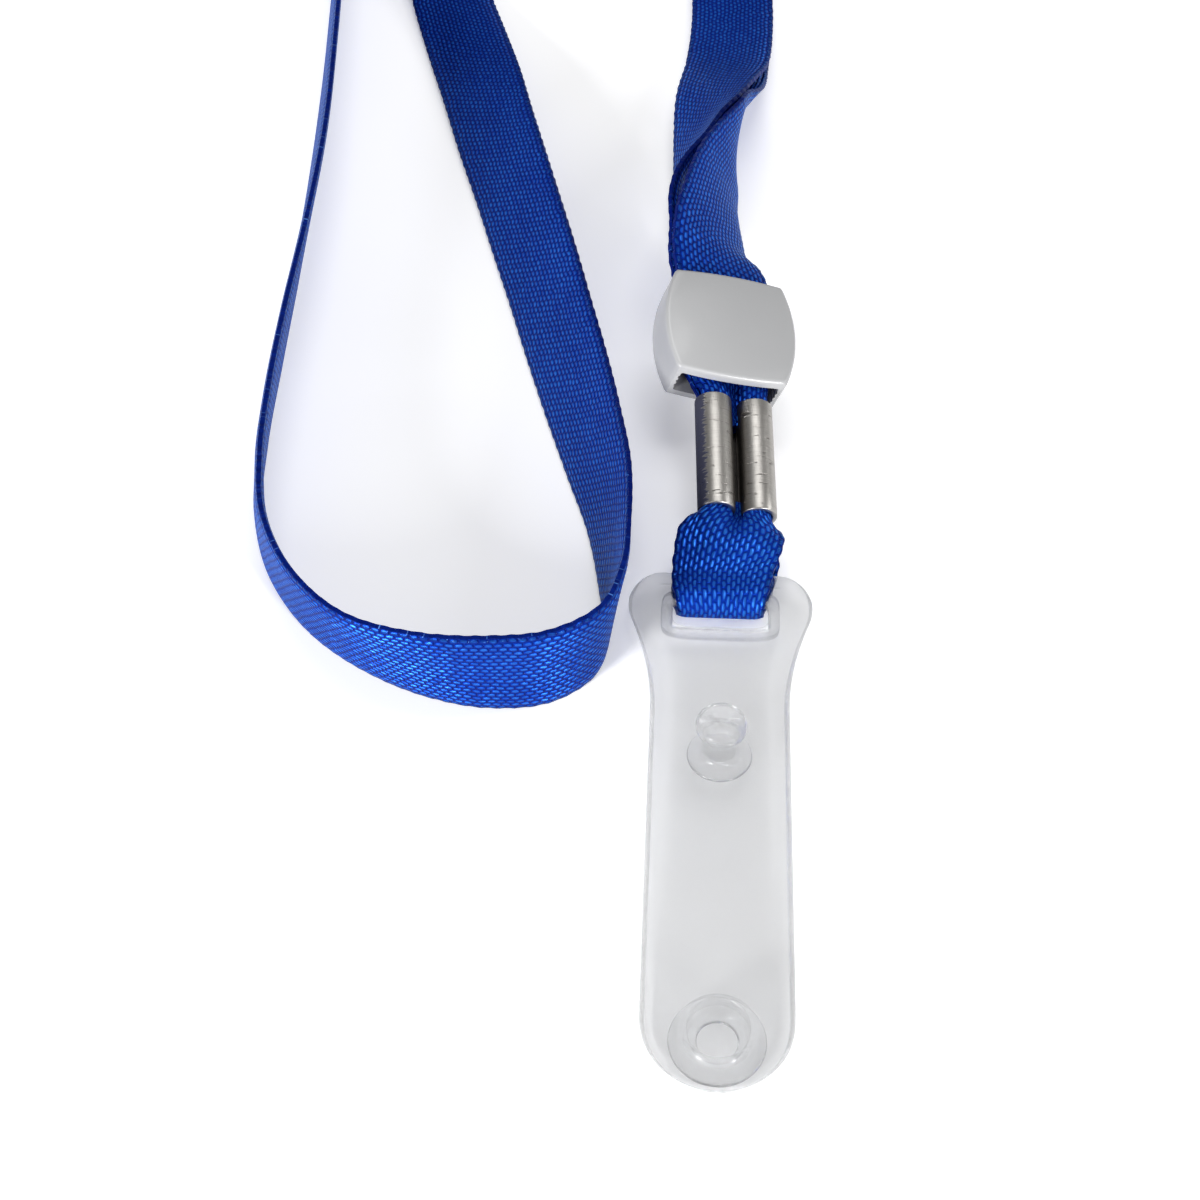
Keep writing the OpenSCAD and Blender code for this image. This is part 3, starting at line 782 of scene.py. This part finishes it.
def turned(name, profile, y, base, material):
    # a profile of radius and height turned about an upright axis on the sheet
    bm = bmesh.new()
    outline = [bm.verts.new((r, 0, z)) for r, z in profile]
    edges = [bm.edges.new(pair) for pair in zip(outline, outline[1:])]
    bmesh.ops.spin(bm, geom=outline + edges, cent=(0, 0, 0), axis=(0, 0, 1), dvec=(0, 0, 0),
                   angle=math.tau, steps=clip["turnSteps"], use_merge=True, use_duplicate=False)
    bmesh.ops.remove_doubles(bm, verts=bm.verts, dist=0.001)
    bmesh.ops.recalc_face_normals(bm, faces=bm.faces)
    bmesh.ops.translate(bm, verts=bm.verts, vec=(0, y, base))
    return finishPiece(name, bm, material, onClip, levels=1, sharp=180)


studProfile = [(0, 0), (2.7, 0), (3.0, 0.1), (2.8, 0.3), (2.4, 0.5), (2.0, 0.7), (1.72, 0.95), (1.52, 1.4),
               (1.46, 2.2), (1.5, 3.3), (1.72, 3.8), (2.15, 4.02), (2.3, 4.3), (2.3, 4.7), (2.15, 5.1),
               (1.7, 5.36), (1.1, 5.42), (0.62, 5.34), (0.45, 5.16), (0, 5.12)]
socketProfile = [(1.65, -0.1), (3.9, -0.1), (4.05, 0.02), (3.95, 0.3), (3.8, 0.7), (3.6, 1.2), (3.42, 1.7),
                 (3.2, 2.15), (2.95, 2.45), (2.75, 2.52), (2.58, 2.4), (2.5, 2.0), (2.5, 1.2), (2.4, 0.6),
                 (2.1, 0.3), (1.75, 0.2), (1.65, 0), (1.65, -0.1)]

clearVinyl = clearFinish("clearVinyl", clip["shade"], clip["clear"], alpha=0.50, bend=1.3)
# the stud, socket and slot rim take a much lighter copy of the same clear vinyl: painted light that offsets
# the darker look of their stacked layers
litBossVinyl = clearFinish("litBossVinyl", clip["bossShade"], clip["bossClear"], alpha=0.46, bend=1.4)
clearStrap = clipSheet(clearVinyl)
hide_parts("clip_head", "clip_tail")
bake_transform(clearStrap)
rim = slotRim(litBossVinyl)
snapStud = turned("snapStud", studProfile, stud["y"], clip["sheet"] - stud["sunk"], litBossVinyl)
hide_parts("snap_stud")
socketBase = clip["sheet"] - stud["socketSunk"]
snapSocket = turned("snapSocket", socketProfile, stud["socketY"], socketBase, litBossVinyl)
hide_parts("snap_socket")
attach(rim, "clip")
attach(snapStud, "clip")
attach(snapSocket, "tail")
print("clear clip moulded")


# floor and light

studio = {"floor": (0.90, 0.90, 0.905), "floorPale": (0.915, 0.915, 0.92), "floorGlow": 0.30, "floorHalf": 3,
          "world": 0.25}
# place and aim in metres, then width, height and power in watts
softboxes = {
    "keyLeft": ((-0.60, -0.70, 0.24), (-0.02, 0, 0), 0.20, 0.34, 14),
    "fillRight": ((0.52, -0.72, 0.24), (-0.02, 0, 0), 0.10, 0.3, 6),
    "sideRight": ((0.86, 0.18, 0.42), (0, 0, 0), 0.16, 0.3, 2.2),
    "overhead": ((0.05, 0.25, 0.8), (0, 0.03, 0), 0.5, 0.4, 2.6)}


def floorFinish():
    f = Finish("paleFloor", {"Specular IOR Level": 0.1, "Emission Color": (1, 1, 1, 1),
                             "Emission Strength": studio["floorGlow"]})
    where = f.node("ShaderNodeTexCoord", {}, {}, out=3)
    cloudy = f.noise(where, 8, 2.0)
    f.feed({"Base Color": f.blendColour(cloudy, rgba(studio["floor"]), rgba(studio["floorPale"])),
            "Roughness": 0.8})
    return f.material


def makeFloor():
    bm = bmesh.new()
    bmesh.ops.create_grid(bm, x_segments=1, y_segments=1, size=studio["floorHalf"])
    floor = newObject("floor", bm, floorFinish())


def softbox(name, place, aim, width, height, power):
    data = bpy.data.lights.new(name, "AREA")
    data.shape, data.size, data.size_y, data.energy = "RECTANGLE", width, height, power
    lamp = bpy.data.objects.new(name, data)
    lamp.location = place
    lamp.rotation_euler = (Vector(aim) - Vector(place)).to_track_quat("-Z", "Y").to_euler()
    bpy.context.scene.collection.objects.link(lamp)


makeFloor()
world = bpy.data.worlds.new("studio")
world.use_nodes = True
world.node_tree.nodes["Background"].inputs[0].default_value = (1, 1, 1, 1)
world.node_tree.nodes["Background"].inputs[1].default_value = studio["world"]
bpy.context.scene.world = world
bpy.context.scene.view_settings.view_transform = "Standard"
for name, values in softboxes.items():
    softbox(name, *values)
print("studio lit")
